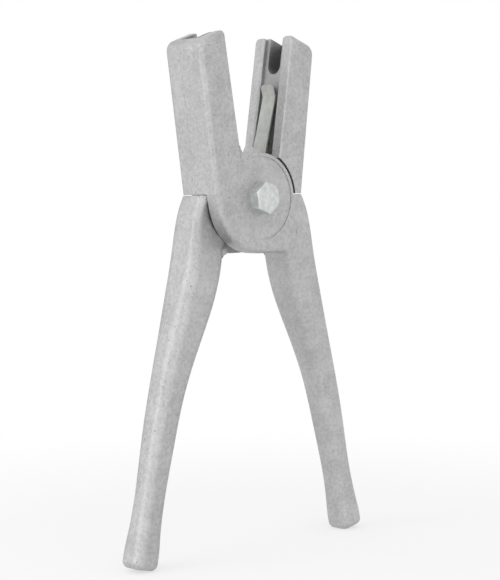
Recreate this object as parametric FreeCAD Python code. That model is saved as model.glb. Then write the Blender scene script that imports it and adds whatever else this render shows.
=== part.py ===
"""Ear tag pliers: two cast aluminium halves that swing on one bolt against a leaf spring.

Frame: the origin is on the pivot axis, midway through the thickness. The pivot axis runs along Y,
the front is -Y, the jaws point up (+Z) and the handles hang down. The pliers are modelled open, with
the shoulders of the jaws resting on the shoulders of the handles. All sizes are in millimetres.

The halves are two copies of one casting. It is drawn as the front half, with its jaw at -X, its disc in
front and its handle at +X. Half a turn about Z makes the rear half from it.
"""
import FreeCAD
import Part
import math
import os

Vector = FreeCAD.Vector
ALONG_Y = Vector(0, 1, 0)
ORIGIN = Vector(0, 0, 0)
FAR = 400.0

# ---- driving dimensions ----

# thickness of the halves, in layers along Y
CASTING_THICKNESS = 24.5
LAP_PLATE_THICKNESS = 7.9
LAP_PLAY = 0.05

# jaws
JAW_INNER_OFFSET = 8.8
JAW_INNER_LEAN = 9.25
JAW_OUTER_OFFSET = 26.2
JAW_OUTER_LEAN = 7.6
JAW_TIP_HEIGHT = 74.4
JAW_END_SLOPE = 20.5
JAW_END_CORNER_R = 5.0
JAW_OUTER_EDGE_R = 2.2
JAW_INNER_EDGE_R = 1.0

# tag channel, spring slot and pocket in the inner faces of the jaws
CHANNEL_WIDTH = 12.2
CHANNEL_DEPTH = 2.2
SLOT_WIDTH = 7.2
SLOT_DEPTH = 3.0
SLOT_LOW = 24.0
SLOT_HIGH = 51.0
POCKET_WIDTH = 8.0
POCKET_DEPTH = 7.5
POCKET_LOW = 57.3
CHANNEL_END_R = 1.2

# lap discs, and the rim of the plate below them
DISC_RADIUS = 20.4
RIM_RADIUS = 25.1
DISC_GAP = 1.2
THROAT_RADIUS = 5.0
CROTCH_RADIUS = 2.5
SPOT_FACE_RADIUS = 18.9
SPOT_FACE_DEPTH = 0.3
SPRING_ROOM_RADIUS = 12.0

# shoulders that stop the opening
SHOULDER_HEIGHT = 1.5
STOP_GAP = 0.3

# handles: a straight upper stretch, a bend and a straight lower stretch
HANDLE_OFFSET = 17.6
HANDLE_UPPER_LEAN = 19.8
HANDLE_LOWER_LEAN = 12.4
HANDLE_KNEE_Z = -87.0
HANDLE_KNEE_R = 290.0
HANDLE_END_Z = -160.6
HANDLE_ROOT_WIDTH = 19.4
HANDLE_SWELL_THICKNESS = 18.2
HANDLE_MIDDLE_WIDTH = 14.5
HANDLE_WAIST_WIDTH = 11.8
HANDLE_END_WIDTH = 13.4
HANDLE_ROOT_EDGE_R = 3.6
HANDLE_END_EDGE_R = 3.0

# pivot bolt, locking nut and washer
BOLT_DIAMETER = 8.0
BOLT_LENGTH = 35.0
BOLT_HEAD_FLATS = 13.0
BOLT_HEAD_HEIGHT = 5.3
BOLT_END_CHAMFER = 0.8
BOLT_HEAD_TURN = 40.0
BORE_CLEARANCE = 0.05
WASHER_DIAMETER = 16.0
WASHER_THICKNESS = 1.6
WASHER_HOLE = 8.4
NUT_FLATS = 13.0
NUT_HEX_HEIGHT = 5.8
NUT_HEIGHT = 8.0
NUT_COLLAR_DIAMETER = 11.6
NUT_LIP = 0.7
NUT_RING_HEIGHT = 1.7
HEX_CHAMFER_ANGLE = 30.0

# leaf spring
SPRING_THICKNESS = 1.0
SPRING_WIDTH = 8.4
SPRING_LOOP_CLEARANCE = 0.3
SPRING_KINK_Z = 46.5
SPRING_TIP_RISE = 5.7
SPRING_TIP_LEAN = 16.0
SPRING_BEND_R = 1.6
SPRING_SEAT_GAP = 0.3
SPRING_TIP_CORNER_R = 2.0

# ---- values worked out from them ----

HALF = CASTING_THICKNESS / 2
LAP_FACE = HALF - LAP_PLATE_THICKNESS
INNER_SLOPE = math.tan(math.radians(JAW_INNER_LEAN))
OUTER_SLOPE = math.tan(math.radians(JAW_OUTER_LEAN))
JAW_FOOT = SHOULDER_HEIGHT + STOP_GAP
BOLT_RADIUS = BOLT_DIAMETER / 2
BORE_RADIUS = BOLT_RADIUS + BORE_CLEARANCE
HEAD_SEAT = SPOT_FACE_DEPTH - HALF
WASHER_SEAT = HALF - SPOT_FACE_DEPTH + LAP_PLAY
NUT_SEAT = WASHER_SEAT + WASHER_THICKNESS


def inner_x(z):
    """Distance of a jaw's inner face from the middle plane at height z."""
    return JAW_INNER_OFFSET + INNER_SLOPE * z


def outer_x(z):
    """Distance of a jaw's outer side from the middle plane at height z."""
    return JAW_OUTER_OFFSET + OUTER_SLOPE * z


def prism(points, y_low, y_high):
    """Solid between two Y planes with an outline of (x, z) points."""
    corners = [Vector(x, y_low, z) for x, z in points]
    face = Part.Face(Part.makePolygon(corners + corners[:1]))
    return face.extrude(ALONG_Y * (y_high - y_low))


def disc(radius, y_low, y_high):
    """Round plate on the pivot axis between two Y planes."""
    return Part.makeCylinder(radius, y_high - y_low, Vector(0, y_low, 0), ALONG_Y)


def below(z):
    """Large block under a height."""
    return Part.makeBox(2 * FAR, 2 * FAR, FAR, Vector(-FAR, -FAR, z - FAR))


def edges_where(shape, test):
    """Edges whose middle point and direction pass a test."""
    chosen = []
    for edge in shape.Edges:
        middle = edge.valueAt((edge.FirstParameter + edge.LastParameter) / 2)
        if test(edge, middle):
            chosen.append(edge)
    return chosen


def runs_along_y(edge):
    """True for a straight edge along Y."""
    if not isinstance(edge.Curve, Part.Line):
        return False
    return abs(edge.Curve.Direction.y) > 0.999


# ---- jaw ----

def jaw_end_z(x):
    """Height of the jaw's end face at a distance from the middle plane."""
    drop = math.tan(math.radians(JAW_END_SLOPE)) * (x - inner_x(JAW_TIP_HEIGHT))
    return JAW_TIP_HEIGHT - drop


def jaw_outer_top():
    """Corner (x, z) where the end face meets the outer side, before rounding."""
    slope = math.tan(math.radians(JAW_END_SLOPE))
    reach = outer_x(JAW_TIP_HEIGHT) - inner_x(JAW_TIP_HEIGHT)
    x = inner_x(JAW_TIP_HEIGHT) + reach / (1 + slope * OUTER_SLOPE)
    return x, jaw_end_z(x)


def jaw_outline():
    """Outline of the jaw above its foot, as (x, z) points at -X."""
    top_x, top_z = jaw_outer_top()
    return [
        (-inner_x(JAW_FOOT), JAW_FOOT),
        (-inner_x(JAW_TIP_HEIGHT), JAW_TIP_HEIGHT),
        (-top_x, top_z),
        (-outer_x(JAW_FOOT), JAW_FOOT),
    ]


def on_jaw_face(middle, offset_at):
    """True where a point lies on a jaw face given by its distance at each height."""
    return abs(abs(middle.x) - offset_at(middle.z)) < 0.01


def rounded_jaw():
    """Jaw block with rounded end and long edges, before anything is cut in it."""
    block = prism(jaw_outline(), -HALF, HALF)
    top_x, top_z = jaw_outer_top()
    corner = edges_where(
        block, lambda edge, middle: runs_along_y(edge) and abs(middle.z - top_z) < 0.01)
    block = block.makeFillet(JAW_END_CORNER_R, corner)
    rim = edges_where(
        block,
        lambda edge, middle: abs(abs(middle.y) - HALF) < 0.01
        and not on_jaw_face(middle, inner_x) and middle.z > JAW_FOOT + 0.1)
    block = block.makeFillet(JAW_OUTER_EDGE_R, rim)
    mouth = edges_where(
        block,
        lambda edge, middle: on_jaw_face(middle, inner_x) and middle.z > JAW_FOOT + 0.1)
    return block.makeFillet(JAW_INNER_EDGE_R, mouth)


def jaw_frame(shape):
    """Turn a shape drawn about a vertical inner face into the leaning face of the jaw."""
    shape.rotate(ORIGIN, ALONG_Y, -JAW_INNER_LEAN)
    shape.translate(Vector(-JAW_INNER_OFFSET, 0, 0))
    return shape


def slot_cutter(width, depth, low, high):
    """Cutter with round ends that sinks from the inner face of the jaw to a depth."""
    radius = width / 2
    bar = Part.makeBox(depth + 1, width, high - low - 2 * radius, Vector(-depth, -radius, low + radius))
    lower = Part.makeCylinder(radius, depth + 1, Vector(-depth, 0, low + radius), Vector(1, 0, 0))
    upper = Part.makeCylinder(radius, depth + 1, Vector(-depth, 0, high - radius), Vector(1, 0, 0))
    return bar.fuse([lower, upper])


def along_face(z):
    """Distance along the leaning inner face that reaches a height."""
    return z / math.cos(math.radians(JAW_INNER_LEAN))


def channel_cutter():
    """Shallow channel that runs down the whole inner face of the jaw."""
    cutter = Part.makeBox(
        CHANNEL_DEPTH + 1, CHANNEL_WIDTH, 2 * FAR, Vector(-CHANNEL_DEPTH, -CHANNEL_WIDTH / 2, -FAR))
    return jaw_frame(cutter)


def jaw():
    """Finished jaw, with its channel, spring slot and the pocket at its end."""
    shape = rounded_jaw()
    shape = shape.cut([channel_cutter()])
    slot = slot_cutter(
        SLOT_WIDTH, CHANNEL_DEPTH + SLOT_DEPTH, along_face(SLOT_LOW), along_face(SLOT_HIGH))
    pocket = slot_cutter(
        POCKET_WIDTH, CHANNEL_DEPTH + POCKET_DEPTH,
        along_face(POCKET_LOW), along_face(2 * JAW_TIP_HEIGHT))
    shape = shape.cut([jaw_frame(slot), jaw_frame(pocket)])
    corners = edges_where(
        shape,
        lambda edge, middle: abs(abs(middle.y) - CHANNEL_WIDTH / 2) < 0.01
        and abs(middle.z - jaw_end_z(-middle.x)) < 0.01)
    return shape.makeFillet(CHANNEL_END_R, corners)


# ---- handle ----

def handle_path(distance):
    """Centre (x, z) of the handle and its lean, at a distance down it from the pivot's height."""
    upper = math.radians(HANDLE_UPPER_LEAN)
    lower = math.radians(HANDLE_LOWER_LEAN)
    tangent = HANDLE_KNEE_R * math.tan((upper - lower) / 2)
    straight = -HANDLE_KNEE_Z / math.cos(upper) - tangent
    arc = HANDLE_KNEE_R * (upper - lower)
    if distance <= straight:
        x = HANDLE_OFFSET + distance * math.sin(upper)
        return x, -distance * math.cos(upper), HANDLE_UPPER_LEAN
    knee_x = HANDLE_OFFSET + straight * math.sin(upper)
    knee_z = -straight * math.cos(upper)
    turned = min((distance - straight) / HANDLE_KNEE_R, upper - lower)
    lean = upper - turned
    x = knee_x + HANDLE_KNEE_R * (math.cos(lean) - math.cos(upper))
    z = knee_z - HANDLE_KNEE_R * (math.sin(upper) - math.sin(lean))
    beyond = max(distance - straight - arc, 0)
    return x + beyond * math.sin(lean), z - beyond * math.cos(lean), math.degrees(lean)


def handle_length():
    """Distance down the handle at which its end is reached."""
    tangent_sum = 2 * HANDLE_KNEE_R * math.tan(math.radians(HANDLE_UPPER_LEAN - HANDLE_LOWER_LEAN) / 2)
    arc = HANDLE_KNEE_R * math.radians(HANDLE_UPPER_LEAN - HANDLE_LOWER_LEAN)
    upper = -HANDLE_KNEE_Z / math.cos(math.radians(HANDLE_UPPER_LEAN))
    lower = (HANDLE_KNEE_Z - HANDLE_END_Z) / math.cos(math.radians(HANDLE_LOWER_LEAN))
    return upper + lower - tangent_sum + arc


def handle_section(distance, width, front, back, edge_radius):
    """Rounded rectangle across the handle, from its front to its back face."""
    x, z, lean = handle_path(distance)
    half = width / 2
    r = edge_radius
    flats = [
        (Vector(-half + r, front, 0), Vector(half - r, front, 0)),
        (Vector(half, front + r, 0), Vector(half, back - r, 0)),
        (Vector(half - r, back, 0), Vector(-half + r, back, 0)),
        (Vector(-half, back - r, 0), Vector(-half, front + r, 0)),
    ]
    centres = [
        Vector(half - r, front + r, 0), Vector(half - r, back - r, 0),
        Vector(-half + r, back - r, 0), Vector(-half + r, front + r, 0),
    ]
    diagonal = r * math.sqrt(0.5)
    corners = [Vector(diagonal, -diagonal, 0), Vector(diagonal, diagonal, 0),
               Vector(-diagonal, diagonal, 0), Vector(-diagonal, -diagonal, 0)]
    edges = []
    for index, (start, end) in enumerate(flats):
        following = flats[(index + 1) % 4][0]
        edges.append(Part.makeLine(start, end))
        edges.append(Part.Arc(end, centres[index] + corners[index], following).toShape())
    wire = Part.Wire(edges)
    wire.rotate(ORIGIN, ALONG_Y, -lean)
    wire.translate(Vector(x, 0, z))
    return wire


def handle_stations():
    """Sections down the handle: distance, width, front face, back face and edge radius."""
    length = handle_length()
    swell = HANDLE_SWELL_THICKNESS / 2
    lap_back = LAP_FACE - LAP_PLAY
    middle = HANDLE_MIDDLE_WIDTH / 2
    waist = HANDLE_WAIST_WIDTH / 2
    end = HANDLE_END_WIDTH / 2
    root_r = HANDLE_ROOT_EDGE_R
    shoulder = 0.35 * (middle + swell)
    return [
        (-0.09 * length, HANDLE_ROOT_WIDTH, -HALF, lap_back, root_r),
        (0.01 * length, HANDLE_ROOT_WIDTH, -HALF, lap_back, root_r),
        (0.11 * length, HANDLE_ROOT_WIDTH, -HALF, lap_back + 0.3, root_r),
        (0.18 * length, HANDLE_ROOT_WIDTH - 0.2, -HALF + 1.4, 0.83 * swell, root_r + 0.9),
        (0.27 * length, HANDLE_ROOT_WIDTH - 0.4, -swell - 0.2, 0.98 * swell, root_r + 1.5),
        (0.39 * length, middle + HANDLE_ROOT_WIDTH / 2, -0.5 * (middle + swell) - 0.2,
         0.5 * (middle + swell) + 0.2, shoulder),
        (0.53 * length, HANDLE_MIDDLE_WIDTH - 0.4, -middle, middle, 0.7 * middle),
        (0.68 * length, 0.5 * (HANDLE_MIDDLE_WIDTH + HANDLE_WAIST_WIDTH) - 0.5,
         -0.5 * (middle + waist) + 0.2, 0.5 * (middle + waist) - 0.2, 0.7 * waist),
        (0.82 * length, HANDLE_WAIST_WIDTH, -waist, waist, 0.7 * waist),
        (0.91 * length, 0.5 * (HANDLE_WAIST_WIDTH + HANDLE_END_WIDTH) - 0.2,
         -0.5 * (waist + end), 0.5 * (waist + end), 0.7 * waist),
        (length, HANDLE_END_WIDTH, -end, end, 0.7 * end),
    ]


def handle():
    """Handle from its shoulder to its rounded end."""
    sections = [handle_section(*station) for station in handle_stations()]
    shape = Part.makeLoft(sections, True, False)
    end_x, end_z, lean = handle_path(handle_length())
    axis = Vector(math.sin(math.radians(lean)), 0, -math.cos(math.radians(lean)))
    end = edges_where(shape, lambda edge, middle: (middle - Vector(end_x, middle.y, end_z)).dot(axis) > -0.01)
    shape = shape.makeFillet(HANDLE_END_EDGE_R, end)
    slab = Part.makeBox(2 * FAR, CASTING_THICKNESS, 2 * FAR, Vector(-FAR, -HALF, -FAR))
    return shape.common(slab).common(below(SHOULDER_HEIGHT))


# ---- one half ----

def throat():
    """Round corner between the jaw's inner face and the disc, in the front plate."""
    lean = math.radians(JAW_INNER_LEAN)
    normal = Vector(math.cos(lean), 0, math.sin(lean))
    up = Vector(-math.sin(lean), 0, math.cos(lean))
    offset = THROAT_RADIUS - JAW_INNER_OFFSET * math.cos(lean)
    reach = DISC_RADIUS + THROAT_RADIUS
    centre = normal * offset + up * math.sqrt(reach ** 2 - offset ** 2)
    on_jaw = centre - normal * THROAT_RADIUS
    on_disc = centre * (DISC_RADIUS / reach)
    inside_jaw = on_jaw - normal * 0.5 - up * THROAT_RADIUS * 2
    corners = [on_jaw - normal * 0.5, on_jaw, on_disc, on_disc * 0.9, inside_jaw]
    filler = prism([(corner.x, corner.z) for corner in corners], -HALF, -LAP_FACE)
    start = Vector(centre.x, -FAR, centre.z)
    return filler.cut(Part.makeCylinder(THROAT_RADIUS, 2 * FAR, start, ALONG_Y))


def crotch_points():
    """Centre of the round corner under the plate, and where it meets the plate and the handle."""
    lean = math.radians(HANDLE_UPPER_LEAN)
    corner_x = HANDLE_OFFSET - HANDLE_ROOT_WIDTH / 2 / math.cos(lean) + RIM_RADIUS * math.tan(lean)
    centre_x = corner_x - CROTCH_RADIUS * (1 - math.sin(lean)) / math.cos(lean)
    centre_z = -RIM_RADIUS - CROTCH_RADIUS
    on_plate = (centre_x, -RIM_RADIUS)
    on_handle = (centre_x + CROTCH_RADIUS * math.cos(lean), centre_z + CROTCH_RADIUS * math.sin(lean))
    return (centre_x, centre_z), on_plate, on_handle


def crotch(top, y_low, y_high):
    """Web that rounds the corner between the plate's lower edge and the handle's inner side."""
    centre, on_plate, on_handle = crotch_points()
    inside = (HANDLE_OFFSET, top[1])
    web = prism([top, on_plate, on_handle, inside], y_low, y_high)
    bite = Part.makeCylinder(CROTCH_RADIUS, 2 * FAR, Vector(centre[0], -FAR, centre[1]), ALONG_Y)
    return web.cut(bite)


def lap_plate():
    """Front plate of a half: its disc, the rim below it and the roots of jaw and handle."""
    large = disc(RIM_RADIUS, -HALF, -LAP_FACE).common(below(SHOULDER_HEIGHT))
    root_top = JAW_FOOT + JAW_OUTER_EDGE_R
    corner_x = outer_x(root_top)
    touch = math.atan2(root_top, corner_x) - math.acos(RIM_RADIUS / math.hypot(corner_x, root_top))
    jaw_root = prism(
        [(0, 0), (-inner_x(root_top), root_top), (-corner_x, root_top),
         (-RIM_RADIUS * math.cos(touch), RIM_RADIUS * math.sin(touch))], -HALF, -LAP_FACE)
    handle_root = crotch((0, 0), -HALF, -LAP_FACE).fuse(
        [prism([(0, 0), (0, -RIM_RADIUS), crotch_points()[1]], -HALF, -LAP_FACE)])
    plate = large.fuse([jaw_root, handle_root]).removeSplitter()
    rim = edges_where(
        plate,
        lambda edge, middle: abs(middle.y + HALF) < 0.01 and middle.z < root_top - 0.1
        and math.hypot(middle.x, middle.z) > RIM_RADIUS - 0.1 and middle.x < crotch_points()[2][0])
    plate = plate.makeFillet(JAW_OUTER_EDGE_R, rim)
    return plate.fuse([disc(DISC_RADIUS, -HALF, -LAP_FACE), throat()])


def half():
    """One casting, drawn as the front half."""
    recess = disc(DISC_RADIUS + DISC_GAP, LAP_FACE - LAP_PLAY, FAR)
    jaw_shape = jaw().cut([recess])
    rear_relief = disc(RIM_RADIUS + DISC_GAP, LAP_FACE - LAP_PLAY, FAR)
    spring_room = disc(SPRING_ROOM_RADIUS, -LAP_FACE, FAR)
    grip = handle().cut([rear_relief, spring_room])
    web = crotch((crotch_points()[1][0], 0.9 * -RIM_RADIUS), -LAP_FACE, LAP_FACE - 2 * LAP_PLAY)
    shape = lap_plate().fuse([jaw_shape, grip, web]).removeSplitter()
    bore = disc(BORE_RADIUS, -FAR, FAR)
    spot_face = disc(SPOT_FACE_RADIUS, -FAR, -HALF + SPOT_FACE_DEPTH)
    return shape.cut([bore, spot_face])


# ---- bolt, nut and washer ----

def hexagon(flats, y_low, y_high, turn):
    """Hexagonal block on the pivot axis."""
    radius = flats / math.sqrt(3)
    points = []
    for index in range(6):
        angle = math.radians(turn + 60 * index)
        points.append((radius * math.cos(angle), radius * math.sin(angle)))
    return prism(points, y_low, y_high)


def chamfer_cone(flats, tip_y, height, outward):
    """Cone that takes the corners off a hexagon, towards the end at tip_y."""
    face_radius = 0.475 * flats
    spread = height / math.tan(math.radians(HEX_CHAMFER_ANGLE))
    base = Vector(0, tip_y, 0)
    return Part.makeCone(face_radius, face_radius + spread, height, base, ALONG_Y * -outward)


def pivot_bolt():
    """Hexagon bolt with its head at the front."""
    top = HEAD_SEAT - BOLT_HEAD_HEIGHT
    end = HEAD_SEAT + BOLT_LENGTH
    head = hexagon(BOLT_HEAD_FLATS, top, HEAD_SEAT, BOLT_HEAD_TURN)
    head = head.common(chamfer_cone(BOLT_HEAD_FLATS, top, BOLT_HEAD_HEIGHT, -1))
    shank = disc(BOLT_RADIUS, HEAD_SEAT, end - BOLT_END_CHAMFER)
    tip = Part.makeCone(
        BOLT_RADIUS, BOLT_RADIUS - BOLT_END_CHAMFER, BOLT_END_CHAMFER,
        Vector(0, end - BOLT_END_CHAMFER, 0), ALONG_Y)
    return head.fuse([shank, tip]).removeSplitter()


def washer():
    """Plain washer under the nut."""
    plate = disc(WASHER_DIAMETER / 2, WASHER_SEAT, NUT_SEAT)
    return plate.cut(disc(WASHER_HOLE / 2, -FAR, FAR))


def nut_body():
    """Locking nut with a collar that holds the nylon ring."""
    hex_top = NUT_SEAT + NUT_HEX_HEIGHT
    top = NUT_SEAT + NUT_HEIGHT
    body = hexagon(NUT_FLATS, NUT_SEAT, hex_top, 0)
    body = body.common(chamfer_cone(NUT_FLATS, hex_top, NUT_HEX_HEIGHT, 1))
    collar = disc(NUT_COLLAR_DIAMETER / 2, hex_top - 1, top)
    rim = edges_where(collar, lambda edge, middle: abs(middle.y - top) < 0.01)
    body = body.fuse([collar.makeFillet(NUT_LIP, rim)]).removeSplitter()
    ring_space = disc(NUT_COLLAR_DIAMETER / 2 - NUT_LIP, top - NUT_LIP - NUT_RING_HEIGHT, top - NUT_LIP)
    mouth = disc(NUT_COLLAR_DIAMETER / 2 - 2 * NUT_LIP, top - NUT_LIP, FAR)
    return body.cut([ring_space, mouth, disc(BORE_RADIUS, -FAR, FAR)])


def nut_ring():
    """Nylon ring that grips the bolt's thread."""
    top = NUT_SEAT + NUT_HEIGHT - NUT_LIP
    ring = disc(NUT_COLLAR_DIAMETER / 2 - NUT_LIP, top - NUT_RING_HEIGHT, top)
    return ring.cut(disc(BORE_RADIUS, -FAR, FAR))


# ---- leaf spring ----

def spring_points():
    """Points down the right leg of the spring: tip, kink, and where it meets the loop."""
    loop = BOLT_RADIUS + SPRING_LOOP_CLEARANCE + SPRING_THICKNESS / 2
    seat = inner_x(SPRING_KINK_Z) + CHANNEL_DEPTH / math.cos(math.radians(JAW_INNER_LEAN))
    kink = Vector(seat - SPRING_SEAT_GAP - SPRING_THICKNESS / 2, 0, SPRING_KINK_Z)
    reach = math.hypot(kink.x, kink.z)
    angle = math.atan2(kink.z, kink.x) - math.acos(loop / reach)
    touch = Vector(loop * math.cos(angle), 0, loop * math.sin(angle))
    tip = kink + Vector(-SPRING_TIP_RISE * math.tan(math.radians(SPRING_TIP_LEAN)), 0, SPRING_TIP_RISE)
    return tip, kink, touch


def spring():
    """Leaf bent round the bolt, with a kinked leg in each jaw."""
    tip, kink, touch = spring_points()
    into = (kink - tip).normalize()
    out = (touch - kink).normalize()
    turn = into.getAngle(out)
    set_back = SPRING_BEND_R * math.tan(turn / 2)
    start = kink - into * set_back
    finish = kink + out * set_back
    inward = (out - into).normalize()
    sagitta = SPRING_BEND_R * (1 / math.cos(turn / 2) - 1)
    crown = kink + inward * sagitta
    loop = touch.Length

    def mirrored(point):
        return Vector(-point.x, point.y, point.z)

    edges = [
        Part.makeLine(tip, start),
        Part.Arc(start, crown, finish).toShape(),
        Part.makeLine(finish, touch),
        Part.Arc(touch, Vector(0, 0, -loop), mirrored(touch)).toShape(),
        Part.makeLine(mirrored(touch), mirrored(finish)),
        Part.Arc(mirrored(finish), mirrored(crown), mirrored(start)).toShape(),
        Part.makeLine(mirrored(start), mirrored(tip)),
    ]
    centre_line = Part.Wire(edges)
    leaves = []
    for side in (-1, 1):
        band = centre_line.makeOffset2D(side * SPRING_THICKNESS / 2, fill=True, openResult=True)
        band.translate(ALONG_Y * (-SPRING_WIDTH / 2))
        leaves.append(band.extrude(ALONG_Y * SPRING_WIDTH))
    leaf = leaves[0].fuse(leaves[1:]).removeSplitter()
    corners = edges_where(
        leaf,
        lambda edge, middle: abs(abs(middle.y) - SPRING_WIDTH / 2) < 0.01
        and abs(abs(middle.x) - tip.x) < 0.01 and abs(middle.z - tip.z) < 0.01)
    return leaf.makeFillet(SPRING_TIP_CORNER_R, corners)


# ---- all pieces ----

def half_turned(shape):
    """Shape after half a turn about Z."""
    shape.rotate(ORIGIN, Vector(0, 0, 1), 180)
    return shape


def main():
    """Build every piece and write one STEP file for each."""
    pieces = {
        "front_half": half(),
        "rear_half": half_turned(half()),
        "pivot_bolt": pivot_bolt(),
        "washer": washer(),
        "lock_nut": nut_body(),
        "nut_ring": nut_ring(),
        "leaf_spring": spring(),
    }
    os.makedirs("parts", exist_ok=True)
    for name, shape in pieces.items():
        shape.exportStep(os.path.join("parts", name + ".step"))
        print(name, len(shape.Solids), shape.isValid(), round(shape.Volume, 1))


main()
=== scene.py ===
"""Looks of the ear tag pliers: cast halves, zinc bolt and nut, nylon ring and leaf spring."""
import math

import bmesh
import bpy
from mathutils import Matrix, Vector
from mathutils.bvhtree import BVHTree


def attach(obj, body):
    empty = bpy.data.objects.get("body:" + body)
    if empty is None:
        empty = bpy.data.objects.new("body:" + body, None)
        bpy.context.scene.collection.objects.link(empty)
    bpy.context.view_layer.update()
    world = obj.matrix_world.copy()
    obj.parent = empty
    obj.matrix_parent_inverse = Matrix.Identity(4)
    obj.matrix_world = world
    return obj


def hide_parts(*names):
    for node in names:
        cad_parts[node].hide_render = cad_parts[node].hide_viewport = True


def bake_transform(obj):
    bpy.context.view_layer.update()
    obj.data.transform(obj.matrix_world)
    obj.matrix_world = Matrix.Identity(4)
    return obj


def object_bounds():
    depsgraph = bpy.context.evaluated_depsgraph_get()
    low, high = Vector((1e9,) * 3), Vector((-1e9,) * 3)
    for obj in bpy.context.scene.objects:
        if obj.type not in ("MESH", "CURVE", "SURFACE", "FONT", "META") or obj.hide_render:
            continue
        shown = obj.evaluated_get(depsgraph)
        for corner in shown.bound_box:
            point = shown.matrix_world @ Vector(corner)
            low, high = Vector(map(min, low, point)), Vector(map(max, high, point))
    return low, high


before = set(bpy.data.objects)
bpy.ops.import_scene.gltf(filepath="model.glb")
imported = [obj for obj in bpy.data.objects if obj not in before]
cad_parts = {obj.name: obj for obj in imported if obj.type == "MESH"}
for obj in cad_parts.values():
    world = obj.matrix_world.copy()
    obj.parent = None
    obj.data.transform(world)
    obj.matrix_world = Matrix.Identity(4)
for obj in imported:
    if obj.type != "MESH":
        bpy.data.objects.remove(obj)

MM = 0.001

cad_low, cad_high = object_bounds()

WHITE = (1.0, 1.0, 1.0, 1.0)

# inner face of a jaw: its distance from the middle plane at the pivot's height, in millimetres,
# and how much that grows for each millimetre up
JAW_FACE_OFFSET = 8.8
JAW_FACE_SLOPE = 0.16286
# recesses in that face, in millimetres: the channel's half width, the height of the slot's
# lower end, and a depth just past the pocket's floor
CHANNEL_HALF_WIDTH = 6.1
SLOT_LOW = 24.0
RECESS_LIMIT = 10.4

# faced ring round the pivot, in millimetres: the distance from the middle plane past which
# a point can be on it, and its radius
FACE_FROM = 11.6
FACE_RADIUS = 18.9

# leaf spring, in millimetres: kink and tip of the right leg are (across, up)
SPRING_THICKNESS = 1.0
SPRING_WIDTH = 8.4
SPRING_LOOP_RADIUS = 4.8
SPRING_KINK = (17.8, 46.5)
SPRING_TIP = (16.17, 52.2)
SPRING_KINK_ROUND = 0.55
SPRING_CORNER_ROUND = 2.4
SPRING_EDGE_ROUND = 0.2
SPRING_LOOP_STEPS = 20
ROUND_SEGMENTS = 6

# parting-line ridges, in millimetres
SEAM_RADIUS = 0.42
SEAM_SINK = 0.22
SEAM_WANDER = 0.35
SEAM_WAVE = 0.9
SEAM_STEPS = 48
SEAM_SIDES = 6
JAW_SEAM_SHIFT = 2.7
HANDLE_SEAM_SHIFT = 2.2
# metres: lowest and highest point of a ridge, and a distance well outside the castings
JAW_SEAM_REACH = (0.003, 0.066)
HANDLE_SEAM_REACH = (-0.155, -0.016)
OUTSIDE = 0.12


# ---- shader maths ----

class Reading:
    """A value in a node tree that Python's operators work on."""

    def __init__(self, tree, socket):
        self.tree = tree
        self.socket = socket

    def maths(self, operation, *others):
        values = {0: self, **dict(enumerate(others, 1))}
        return self.tree.add("ShaderNodeMath", {"operation": operation}, values)

    def __add__(self, other):
        return self.maths("ADD", other)

    __radd__ = __add__

    def __mul__(self, other):
        return self.maths("MULTIPLY", other)

    __rmul__ = __mul__

    def __sub__(self, other):
        return self.maths("SUBTRACT", other)

    def __rsub__(self, other):
        return self.tree.add("ShaderNodeMath", {"operation": "SUBTRACT"}, {0: other, 1: self})

    def root(self):
        return self.maths("SQRT")

    def size(self):
        return self.maths("ABSOLUTE")

    def band(self, low, high):
        """0 below low, 1 above high, smooth between them."""
        return self.tree.add(
            "ShaderNodeMapRange", {"interpolation_type": "SMOOTHSTEP"},
            {"Value": self, "From Min": low, "From Max": high})


class Tree:
    """Node tree of a material or a world, whose nodes are added one call at a time."""

    def __init__(self, holder):
        holder.use_nodes = True
        self.nodes = holder.node_tree.nodes
        self.links = holder.node_tree.links

    def add(self, kind, settings=None, inputs=None, output=0):
        """New node: its type, its settings, then its sockets' values or links."""
        node = self.nodes.new(kind)
        for key, value in (settings or {}).items():
            setattr(node, key, value)
        for key, value in (inputs or {}).items():
            self.feed(node.inputs[key], value)
        return Reading(self, node.outputs[output])

    def feed(self, socket, value):
        if isinstance(value, Reading):
            self.links.new(value.socket, socket)
        else:
            socket.default_value = value

    def seen_directly(self):
        """1 for camera rays and for what metal or glass shows, 0 for the light on things."""
        camera_ray, glossy_ray, through_ray = (
            self.add("ShaderNodeLightPath", output=name)
            for name in ("Is Camera Ray", "Is Glossy Ray", "Is Transmission Ray"))
        return (camera_ray + glossy_ray + through_ray).maths("MINIMUM", 1.0)

    def end_with(self, factor, lit, shown, output):
        """Surface that is lit where the factor is 0 and shown plain where it is 1."""
        mix = self.add("ShaderNodeMixShader", {}, {"Fac": factor, 1: Reading(self, lit), 2: shown})
        self.feed(self.nodes[output].inputs["Surface"], mix)


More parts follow.
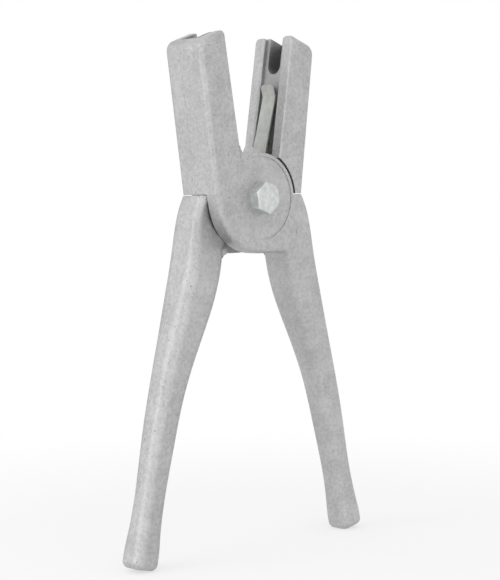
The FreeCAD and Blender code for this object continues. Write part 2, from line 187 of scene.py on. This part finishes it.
class Finish(Tree):
    """Material of one finish."""

    def __init__(self, name, **constants):
        self.material = bpy.data.materials.new(name)
        super().__init__(self.material)
        self.shader = self.nodes["Principled BSDF"]
        self.give(**constants)

    def give(self, **sockets):
        """Values or links for the shader's own sockets."""
        for socket, value in sockets.items():
            self.feed(self.shader.inputs[socket.replace("_", " ")], value)

    def place(self, scale=(1, 1, 1)):
        """Object coordinates in millimetres, stretched by scale."""
        coords = self.add("ShaderNodeTexCoord", output="Object")
        size = [share / MM for share in scale]
        return self.add("ShaderNodeMapping", {}, {"Vector": coords, "Scale": size})

    def noise(self, place, size, detail=3.0, roughness=0.55):
        """Noise with blotches of about size millimetres."""
        return self.add(
            "ShaderNodeTexNoise", {},
            {"Vector": place, "Scale": 1 / size, "Detail": detail, "Roughness": roughness})

    def blend(self, factor, first, second):
        """Colour between two colours."""
        return self.add(
            "ShaderNodeMix", {"data_type": "RGBA"},
            {"Factor": factor, 6: first, 7: second}, output=2)

    def bump(self, height, depth):
        """Normal bent by a height of up to depth millimetres."""
        return self.add(
            "ShaderNodeBump", {}, {"Height": height, "Distance": depth * MM, "Strength": 1.0})


def grey(level, tint=(1.0, 1.0, 1.0)):
    """Linear colour from a grey level and a tint."""
    return (level * tint[0], level * tint[1], level * tint[2], 1.0)


# ---- finishes ----

def tumbled_aluminium():
    """Sand-cast aluminium after tumbling: matt, mottled, finely pitted, with painted shade in its
    recesses.
    """
    finish = Finish("tumbled_aluminium", Metallic=1.0)
    place = finish.place()
    x, y, z = (
        finish.add("ShaderNodeSeparateXYZ", {}, {"Vector": place}, output=axis)
        for axis in range(3))
    clouds = finish.noise(place, 11.0, 3.0)
    mottle = finish.noise(place, 1.6, 4.0, 0.65)
    grain = finish.noise(place, 0.5, 2.0)
    pits = 1 - finish.noise(place, 0.9, 2.0).band(0.27, 0.36)
    tone = 0.5 * mottle + 0.25 * clouds + 0.25 * grain
    colour = finish.blend(tone.band(0.36, 0.64), grey(0.45), grey(0.60))
    colour = finish.blend(pits * 0.55, colour, grey(0.24))
    # smudges left by handling and by the tumbling barrel
    smudge = finish.noise(place, 4.0, 4.0, 0.7).band(0.62, 0.72)
    colour = finish.blend(smudge * 0.22, colour, grey(0.30))
    # painted shade in the channel, the slot and the pocket of each jaw, darker the deeper the
    # point lies
    deep = x.size() - z * JAW_FACE_SLOPE - JAW_FACE_OFFSET
    width = 1 - y.size().band(CHANNEL_HALF_WIDTH, CHANNEL_HALF_WIDTH + 0.2)
    inside = deep.band(0.2, 0.9) * (1 - deep.band(RECESS_LIMIT, RECESS_LIMIT + 1.0))
    painted_recess_shade = inside * width * z.band(SLOT_LOW - 5.0, SLOT_LOW)
    colour = finish.blend(painted_recess_shade * (0.25 + 0.35 * deep.band(1.8, 5.0)), colour, grey(0.10))
    # turning marks and scuffs on the faced ring round the pivot
    radius = (x * x + z * z).root()
    faced = y.size().band(FACE_FROM, FACE_FROM + 0.3)
    faced = faced * (1 - radius.band(FACE_RADIUS - 0.5, FACE_RADIUS))
    turned = finish.add(
        "ShaderNodeCombineXYZ", {}, {"X": radius * 2.2, "Y": x * 0.03, "Z": z * 0.03})
    rings = finish.add("ShaderNodeTexNoise", {}, {"Vector": turned, "Scale": 1.0, "Detail": 3.0})
    scratched = finish.noise(place, 1.1, 4.0).band(0.52, 0.66)
    scuff = faced * (1 - radius.band(12.0, 15.0)) * scratched
    colour = finish.blend(scuff * 0.25, colour, grey(0.28))
    height = 0.5 * mottle + 0.5 * grain - 0.7 * pits + faced * rings * 0.6
    finish.give(
        Base_Color=colour, Roughness=0.50 + 0.16 * mottle, Normal=finish.bump(height, 0.13))
    return finish.material


def bright_zinc():
    """Zinc plating with a cool green cast."""
    finish = Finish("bright_zinc", Metallic=0.75)
    place = finish.place()
    cast = (0.965, 1.0, 0.98)
    bloom = finish.noise(place, 2.5, 3.0)
    colour = finish.blend(bloom.band(0.3, 0.7), grey(0.60, cast), grey(0.74, cast))
    finish.give(
        Base_Color=colour,
        Roughness=0.42 + 0.16 * bloom,
        Normal=finish.bump(finish.noise(place, 0.6), 0.03))
    return finish.material


def nylon():
    """Moulded nylon of the locking ring."""
    finish = Finish("nylon", Roughness=0.45)
    shade = finish.noise(finish.place(), 1.2)
    finish.give(Base_Color=finish.blend(shade, (0.02, 0.07, 0.25, 1.0), (0.03, 0.10, 0.32, 1.0)))
    return finish.material


def spring_plate():
    """Plated spring strip with fine rolling marks along its length."""
    finish = Finish("spring_plate", Metallic=0.85)
    place = finish.place()
    cast = (0.98, 1.0, 0.95)
    rolled = finish.noise(finish.place((1.0, 6.0, 0.15)), 1.0, 2.0)
    bloom = finish.noise(place, 4.0, 3.0)
    colour = finish.blend(bloom.band(0.3, 0.7), grey(0.42, cast), grey(0.52, cast))
    finish.give(
        Base_Color=colour,
        Roughness=0.38 + 0.12 * rolled,
        Normal=finish.bump(rolled, 0.01))
    return finish.material


def dress(node, material):
    """Give a carried-over node its finish."""
    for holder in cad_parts[node].material_slots:
        holder.material = material


# ---- pieces of the scene ----

def piece_from(bm, name, material):
    """Object made from a bmesh, with its normals outward."""
    bmesh.ops.recalc_face_normals(bm, faces=bm.faces)
    mesh = bpy.data.meshes.new(name)
    bm.to_mesh(mesh)
    bm.free()
    mesh.materials.append(material)
    piece = bpy.data.objects.new(name, mesh)
    bpy.context.collection.objects.link(piece)
    return piece


def of_kind(parts, kind):
    """Parts of a bmesh result that are of one kind."""
    return [part for part in parts if isinstance(part, kind)]


def round_corners(bm, verts, offset):
    """Round a line's or a sheet's corners."""
    bmesh.ops.bevel(
        bm, geom=verts, offset=offset, offset_type="OFFSET", affect="VERTICES",
        segments=ROUND_SEGMENTS, profile=0.5, material=-1)


def spring_line(bm):
    """One long edge of the leaf: the loop round the bolt, with a kinked leg on each side."""
    kink_x, kink_z = SPRING_KINK
    tangent = math.acos(SPRING_LOOP_RADIUS / math.hypot(kink_x, kink_z))
    start = math.atan2(kink_z, kink_x) - tangent
    edge_y = -SPRING_WIDTH / 2
    right = bm.verts.new(
        (SPRING_LOOP_RADIUS * math.cos(start), edge_y, SPRING_LOOP_RADIUS * math.sin(start)))
    spun = bmesh.ops.spin(
        bm, geom=[right], cent=(0, 0, 0), axis=(0, 1, 0), angle=math.pi + 2 * start,
        steps=SPRING_LOOP_STEPS, use_merge=False)
    left = of_kind(spun["geom_last"], bmesh.types.BMVert)[0]
    kinks = []
    for vert, side in ((right, 1), (left, -1)):
        for x, z in (SPRING_KINK, SPRING_TIP):
            vert = bmesh.ops.extrude_vert_indiv(bm, verts=[vert])["verts"][0]
            vert.co = (side * x, edge_y, z)
            if z == kink_z:
                kinks.append(vert)
    round_corners(bm, kinks, SPRING_KINK_ROUND)


def leaf_spring(material):
    """Leaf bent round the bolt, with rounded tips and edges."""
    bm = bmesh.new()
    spring_line(bm)
    strip = bmesh.ops.extrude_edge_only(bm, edges=bm.edges[:])
    far_edge = of_kind(strip["geom"], bmesh.types.BMVert)
    bmesh.ops.translate(bm, vec=(0, SPRING_WIDTH, 0), verts=far_edge)
    corners = [vert for vert in bm.verts if vert.co.z > SPRING_TIP[1] - 0.01]
    round_corners(bm, corners, SPRING_CORNER_ROUND)
    bmesh.ops.recalc_face_normals(bm, faces=bm.faces)
    bmesh.ops.scale(bm, vec=(MM, MM, MM), verts=bm.verts)
    spring = piece_from(bm, "leaf_spring_strip", material)
    wall = spring.modifiers.new("thickness", "SOLIDIFY")
    wall.thickness = SPRING_THICKNESS * MM
    wall.offset = 0
    edge = spring.modifiers.new("rolled_edges", "BEVEL")
    edge.width = SPRING_EDGE_ROUND * MM
    edge.segments = 2
    edge.limit_method = "ANGLE"
    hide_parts("leaf_spring")
    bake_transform(spring)


def seam_points(node, side, reach, shift):
    """Points up the outer side of a casting, just under its skin."""
    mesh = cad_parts[node].data
    skin = BVHTree.FromPolygons(
        [vert.co for vert in mesh.vertices], [face.vertices for face in mesh.polygons])
    low, high = reach
    points = []
    for step in range(SEAM_STEPS + 1):
        z = low + (high - low) * step / SEAM_STEPS
        y = shift * MM + SEAM_WANDER * MM * math.sin(step * SEAM_WAVE)
        hit = skin.ray_cast(Vector((side * OUTSIDE, y, z)), Vector((-side, 0, 0)))[0]
        if hit is not None:
            points.append(hit - Vector((side * SEAM_SINK * MM, 0, 0)))
    return points


def seam(name, body, side, reach, shift, material):
    """Thin ridge left at the mould's parting line, up the outer side of a casting."""
    points = seam_points(body + "_half", side, reach, shift)
    bm = bmesh.new()
    bmesh.ops.create_circle(bm, cap_ends=True, radius=SEAM_RADIUS * MM, segments=SEAM_SIDES)
    bmesh.ops.translate(bm, vec=points[0], verts=bm.verts)
    edges = bm.edges[:]
    for before, after in zip(points, points[1:]):
        grown = bmesh.ops.extrude_edge_only(bm, edges=edges)["geom"]
        ring = of_kind(grown, bmesh.types.BMVert)
        edges = [edge for edge in of_kind(grown, bmesh.types.BMEdge)
                 if all(vert in ring for vert in edge.verts)]
        bmesh.ops.translate(bm, vec=after - before, verts=ring)
    bmesh.ops.contextual_create(bm, geom=edges)
    ridge = piece_from(bm, name, material)
    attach(ridge, body)


# ---- studio ----

def lamp(name, place, target, size, power):
    """Soft rectangular lamp that shines at a point."""
    light = bpy.data.lights.new(name, "AREA")
    light.shape = "RECTANGLE"
    light.size, light.size_y = size
    light.energy = power
    thing = bpy.data.objects.new(name, light)
    thing.location = place
    thing.rotation_euler = (target - place).to_track_quat("-Z", "Y").to_euler()
    bpy.context.collection.objects.link(thing)


def white_ground():
    """Pale floor that keeps the pliers' shadow and is plain white away from them."""
    bpy.ops.mesh.primitive_plane_add(size=8, location=(0, 0, cad_low[2]))
    floor = bpy.context.object
    floor.name = "floor"
    finish = Finish("ground", Roughness=0.9, Base_Color=(0.95, 0.95, 0.95, 1.0))
    place = finish.add("ShaderNodeTexCoord", output="Object")
    away = finish.add(
        "ShaderNodeVectorMath", {"operation": "LENGTH"}, {0: place}, output="Value")
    # share of plain white: 0.55 under the pliers, all of it from 0.40 m away
    share = 0.55 + 0.45 * away.band(0.10, 0.40)
    shown = finish.add("ShaderNodeEmission", {}, {"Color": WHITE, "Strength": 1.0})
    finish.end_with(
        share * finish.seen_directly(), finish.shader.outputs[0], shown, "Material Output")
    floor.data.materials.append(finish.material)


def surroundings(level):
    """White to the camera and in reflections, dimmer as a light."""
    world = bpy.data.worlds.new("surroundings")
    bpy.context.scene.world = world
    sky = Tree(world)
    soft = sky.nodes["Background"]
    soft.inputs["Color"].default_value = WHITE
    soft.inputs["Strength"].default_value = level
    shown = sky.add("ShaderNodeBackground", {}, {"Color": WHITE, "Strength": 1.0})
    sky.end_with(sky.seen_directly(), soft.outputs[0], shown, "World Output")


def camera():
    """Camera to the left of the front, looking a little down."""
    azimuth = math.radians(43.1)
    tilt = math.radians(3.4)
    roll = math.radians(-0.85)
    distance = 0.7545
    side = 2.57 * MM
    height = -42.1 * MM
    forward = Vector((
        math.sin(azimuth) * math.cos(tilt), math.cos(azimuth) * math.cos(tilt), -math.sin(tilt)))
    right = Vector((math.cos(azimuth), -math.sin(azimuth), 0))
    target = right * side + Vector((0, 0, height))
    data = bpy.data.cameras.new("camera")
    data.lens = 102.2
    data.clip_start = 0.01
    thing = bpy.data.objects.new("camera", data)
    turn = Matrix((right, right.cross(forward), -forward)).transposed().to_4x4()
    place = Matrix.Translation(target - forward * distance)
    thing.matrix_world = place @ turn @ Matrix.Rotation(roll, 4, "Z")
    bpy.context.collection.objects.link(thing)
    bpy.context.scene.camera = thing
    return forward, right


def main():
    """Dress the castings and fittings, add the scene's own pieces and set up the studio."""
    aluminium = tumbled_aluminium()
    zinc = bright_zinc()
    spring = spring_plate()
    for node in ("front_half", "rear_half"):
        dress(node, aluminium)
    for node in ("pivot_bolt", "washer", "lock_nut"):
        dress(node, zinc)
    dress("nut_ring", nylon())
    dress("leaf_spring", spring)
    leaf_spring(spring)
    for body, side in (("front", -1), ("rear", 1)):
        seam(body + "_jaw_seam", body, side, JAW_SEAM_REACH, -side * JAW_SEAM_SHIFT, aluminium)
        seam(body + "_handle_seam", body, -side, HANDLE_SEAM_REACH, side * HANDLE_SEAM_SHIFT,
             aluminium)
    forward, right = camera()
    white_ground()
    surroundings(level=0.80)
    up = Vector((0, 0, 1))
    middle = Vector((0, 0, -0.04))
    key_place = middle - right * 0.8 - forward * 0.5 + up * 0.25
    fill_place = middle + right * 0.3 - forward * 1.0 + up * 0.1
    lamp("key", key_place, middle, size=(0.7, 0.9), power=2.6)
    lamp("fill", fill_place, middle, size=(0.9, 0.9), power=2.0)
    bpy.context.scene.view_settings.view_transform = "Standard"


main()
